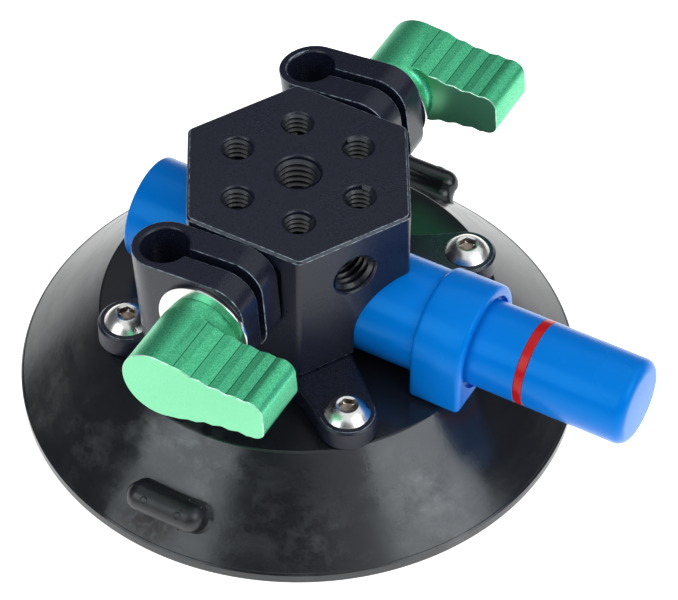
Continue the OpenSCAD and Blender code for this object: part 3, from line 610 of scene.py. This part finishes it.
def plunger():
    """The plunger with its piston, the red ring let into it, and the piston's lip seal."""
    bm = bmesh.new()
    piston = BORE_R - 0.08
    lathe(bm, fillets([
        (0, PISTON_X, 0), (piston, PISTON_X, 0.3), (piston, SEAL_X, 0),
        (piston - 1.6, SEAL_X, 0), (piston - 1.6, SEAL_END, 0), (piston, SEAL_END, 0),
        (piston, STOP_X, 0), (PLUNGER_R, STOP_X, 0), (PLUNGER_R, RING_X, 0.1),
        (RING_R, RING_X, 0), (RING_R, RING_END, 0), (PLUNGER_R, RING_END, 0.1),
        (PLUNGER_R, PLUNGER_END, 2.2), (0, PLUNGER_END, 0)], 8), ALONG_PUMP)
    clean(bm)
    make("plunger_body", bm, [BLUE], "pump_plunger", ("plunger",))
    bm = bmesh.new()
    inner, low, high = RING_R - 0.05, RING_X + 0.04, RING_END - 0.04
    lathe(bm, fillets([(inner, low, 0), (PLUNGER_R, low, 0.16), (PLUNGER_R, high, 0.16),
                       (inner, high, 0)]), ALONG_PUMP, closed=True)
    clean(bm)
    make("red_ring", bm, [RED], "pump_plunger", ("indicator_ring",))
    # lip seal: a round heel and two thin lips that open towards the vacuum
    bm = bmesh.new()
    low, high = SEAL_X + 0.05, SEAL_END - 0.05
    lathe(bm, fillets([
        (SEAL_R, high, 0.5), (9.82, high, 0.5), (9.86, low + 0.1, 0.1), (9.45, low, 0),
        (9.25, low + 1.75, 0.12), (8.85, low + 1.75, 0.12), (8.6, low, 0), (SEAL_R, low, 0)]),
        ALONG_PUMP, closed=True)
    clean(bm)
    make("lip_seal", bm, [SEAL], "pump_plunger", ("piston_seal",))


def spring():
    """A coil from the barrel's end to the piston."""
    bm = bmesh.new()
    wire = [(COIL_R + WIRE_R * cos(a), WIRE_R * sin(a)) for a in (pi * k / 6 for k in range(12))]
    low, high = BACK_X + END_WALL + WIRE_R + 0.02, PISTON_X - WIRE_R - 0.02
    helix(bm, wire, (high - low) / COIL_TURNS, COIL_TURNS,
          ALONG_PUMP @ Matrix.Translation((0, 0, low)), steps=36)
    coil = make("coil", bm, [STUD], "base", ("return_spring",), angle=60)
    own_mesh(coil)


barrel()
dressed("collar", "pump_collar", [BLUE], "base", 0.15, crisp=40, angle=32)
plunger()
spring()


# ---- clamps and levers ------------------------------------------------------

def stud(side, body):
    """An M8 stud: a core with a rolled thread along its whole length."""
    bm = bmesh.new()
    low, high, pitch = STUD_FROM, STUD_TO, STUD_PITCH
    place = beside(side)
    lathe(bm, fillets([(0, low, 0), (STUD_CORE, low, 0.4), (STUD_CORE, high, 0.3), (0, high, 0)]),
          place, 48)
    clean(bm)
    foot = STUD_CORE - 0.05
    ridge = [(foot, -0.5 * pitch), (STUD_R, -0.1 * pitch), (STUD_R, 0.1 * pitch),
             (foot, 0.5 * pitch)]
    helix(bm, ridge, pitch, (high - low - 1.6) / pitch,
          place @ Matrix.Translation((0, 0, low + 0.8)))
    name = "front" if side < 0 else "rear"
    make(name + "_thread", bm, [STUD], body, (name + "_stud",), angle=30)


# the valleys picked here are rounded with the darker green of painted shade
def valley(edge):
    """Whether a hollow edge of a lever is the bottom of one of its finger grooves."""
    line = edge.verts[0].co - edge.verts[1].co
    return (abs(line.y) > 0.99 * line.length and edge.verts[0].co.x > STUD_X + 3
            and edge.calc_face_angle() > radians(0.6))


# clamp edges away from the bore mouths, and the levers' rims, get the bright edge material: part
# rubbed, part painted highlight
def bore_mouth(p):
    """Whether a point lies at the mouth of a clamp's rod bore."""
    across = abs(abs(p.y) - CLAMP_Y)
    return across < 5.6 and p.x < -6.5 and (p.x - ROD_X) ** 2 + across ** 2 < 37


# the ends picked here get the lighter green of painted light
def end_face(face):
    """Whether a face is one of a lever's broad flat ends."""
    return abs(face.normal.y) > 0.99 and face.calc_area() > 9


def lever_rim(p):
    """Whether a point lies on the rim of a lever's outer end, or of its inner end clear of
    the hub."""
    return (abs(p.y) > KNOB_Y - 0.4
            or abs(p.y) < LEVER_Y + 0.3 and hypot(p.x - STUD_X, p.z - STUD_Z) > 11)


for side, name in ((-1, "front"), (1, "rear")):
    dressed(name + "_disc", name + "_pad", [PAD], "base", 0.15)
    dressed(name + "_jaws", name + "_clamp", [BLACK, EDGE], name + "_rod_clamp",
            0.16, angle=11, bright=lambda p: not bore_mouth(p))
    dressed(name + "_ring", name + "_washer", [WASHER], name + "_stack", 0.12)
    dressed(name + "_lever_body", name + "_knob", [GREEN, GREEN_EDGE, GREEN_GROOVE_SHADE, GREEN_LIT_FACE],
            name + "_lever", 0.15, crisp=15, angle=8, segments=1,
            groove=valley, plain=end_face, bright=lever_rim)
    stud(side, name + "_lever")


# ---- stage ------------------------------------------------------------------

def floor():
    """White paper that glows with painted light, full round the object so that no shadow shows on
    it, and dimmer further out.
    """
    n = Nodes("paper")
    grain = n.noise(400.0, 3.0)
    white = n.ramp(grain, (0.3, (0.90, 0.90, 0.90)), (0.7, (0.93, 0.93, 0.93)))
    # painted glow: full round the object, falling to about a sixth of it 330 mm out
    painted_glow = n.ramp(n.near(15, 10, 0, 330), (0.0, (0.16, 0.158, 0.155)), (0.35, (0.45, 0.44, 0.42)),
                  (0.68, (1.0, 0.975, 0.94)))
    material = n.set(Base_Color=white, Emission_Color=painted_glow, Emission_Strength=0.95,
                     Roughness=0.9, Specular_IOR_Level=0.1)
    bm = bmesh.new()
    bmesh.ops.create_grid(bm, x_segments=1, y_segments=1, size=2.5)
    mesh = as_mesh(bm, "floor")
    mesh.materials.append(material)
    piece = bpy.data.objects.new("floor", mesh)
    piece.location.z = -0.0002
    scene.collection.objects.link(piece)
    return piece


def softbox(name, direction, distance, width, height, power, colour):
    """A soft light that points at the object's middle."""
    lamp = bpy.data.lights.new(name, "AREA")
    lamp.shape = "RECTANGLE"
    lamp.size, lamp.size_y, lamp.energy, lamp.color = width, height, power, colour
    piece = bpy.data.objects.new(name, lamp)
    towards = Vector(direction).normalized()
    piece.location = towards * distance + Vector((0, 0, 0.03))
    piece.rotation_euler = towards.to_track_quat("Z", "Y").to_euler()
    scene.collection.objects.link(piece)
    return piece


world = bpy.data.worlds.new("room")
world.use_nodes = True
world.node_tree.nodes["Background"].inputs["Color"].default_value = (0.86, 0.94, 1.0, 1)
world.node_tree.nodes["Background"].inputs["Strength"].default_value = 0.13
scene.world = world
scene.view_settings.view_transform = "Standard"

COOL = (0.88, 0.95, 1.0)
floor()
softbox("ceiling", (0.42, 0.10, 1.40), 1.48, 3.0, 3.0, 23.0, (0.93, 0.97, 1.0))
softbox("front_left", (-0.34, -0.76, 0.55), 1.3, 0.80, 0.80, 5.8, COOL)
softbox("right", (0.82, -0.06, 0.56), 1.3, 0.80, 0.80, 6.0, COOL)
